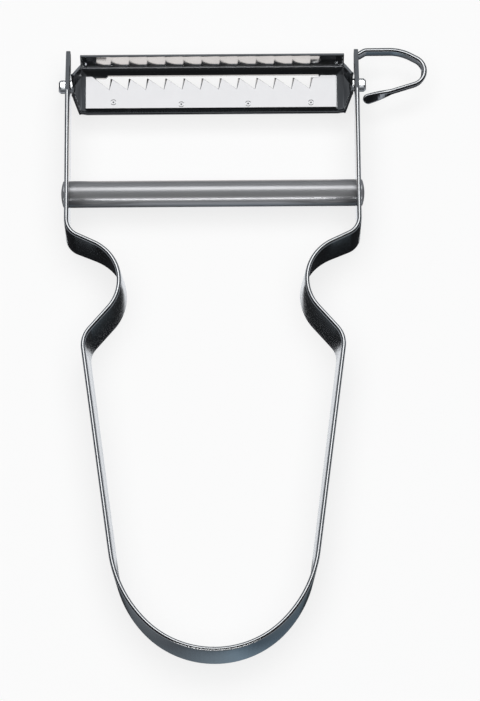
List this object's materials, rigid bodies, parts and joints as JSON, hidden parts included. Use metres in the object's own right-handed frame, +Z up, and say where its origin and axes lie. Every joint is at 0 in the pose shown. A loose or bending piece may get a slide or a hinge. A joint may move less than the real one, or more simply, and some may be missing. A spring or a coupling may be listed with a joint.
{
  "type": "julienne peeler",
  "caption": "Hand peeler with a bent steel strip handle, a riveted crossbar, a swivelling blade trough that carries a toothed julienne comb, and a side loop for cutting out eyes.",
  "frame": {"origin": "middle of the crown's lower edge, on the plane that the peeler lies on", "axes": "+Z up from the plane that the peeler lies on, +Y along the handle from the crown to the blade, +X across the handle towards the arm with the eye loop"},
  "size_m": [0.0763, 0.1309, 0.011],
  "materials": {
    "strip_steel": "polished strip with eased edges",
    "bar_steel": "satin turned",
    "blade_steel": "polished",
    "comb_steel": "fine matt with spot-weld marks"
  },
  "bodies": {
    "handle": {"handle_bow": "strip_steel", "crossbar": "bar_steel", "left_rivet": "bar_steel", "right_rivet": "bar_steel", "eyer_loop": "strip_steel"},
    "blade_head": {"peeling_blade": "blade_steel", "julienne_comb": "comb_steel"}
  },
  "joints": [
    {"name": "blade_swivel", "type": "hinge", "parent": "handle", "child": "blade_head", "pos_m": [0, 0.1217, 0.0055], "axis": [1, 0, 0], "range_deg": [-30, 30]}
  ]
}
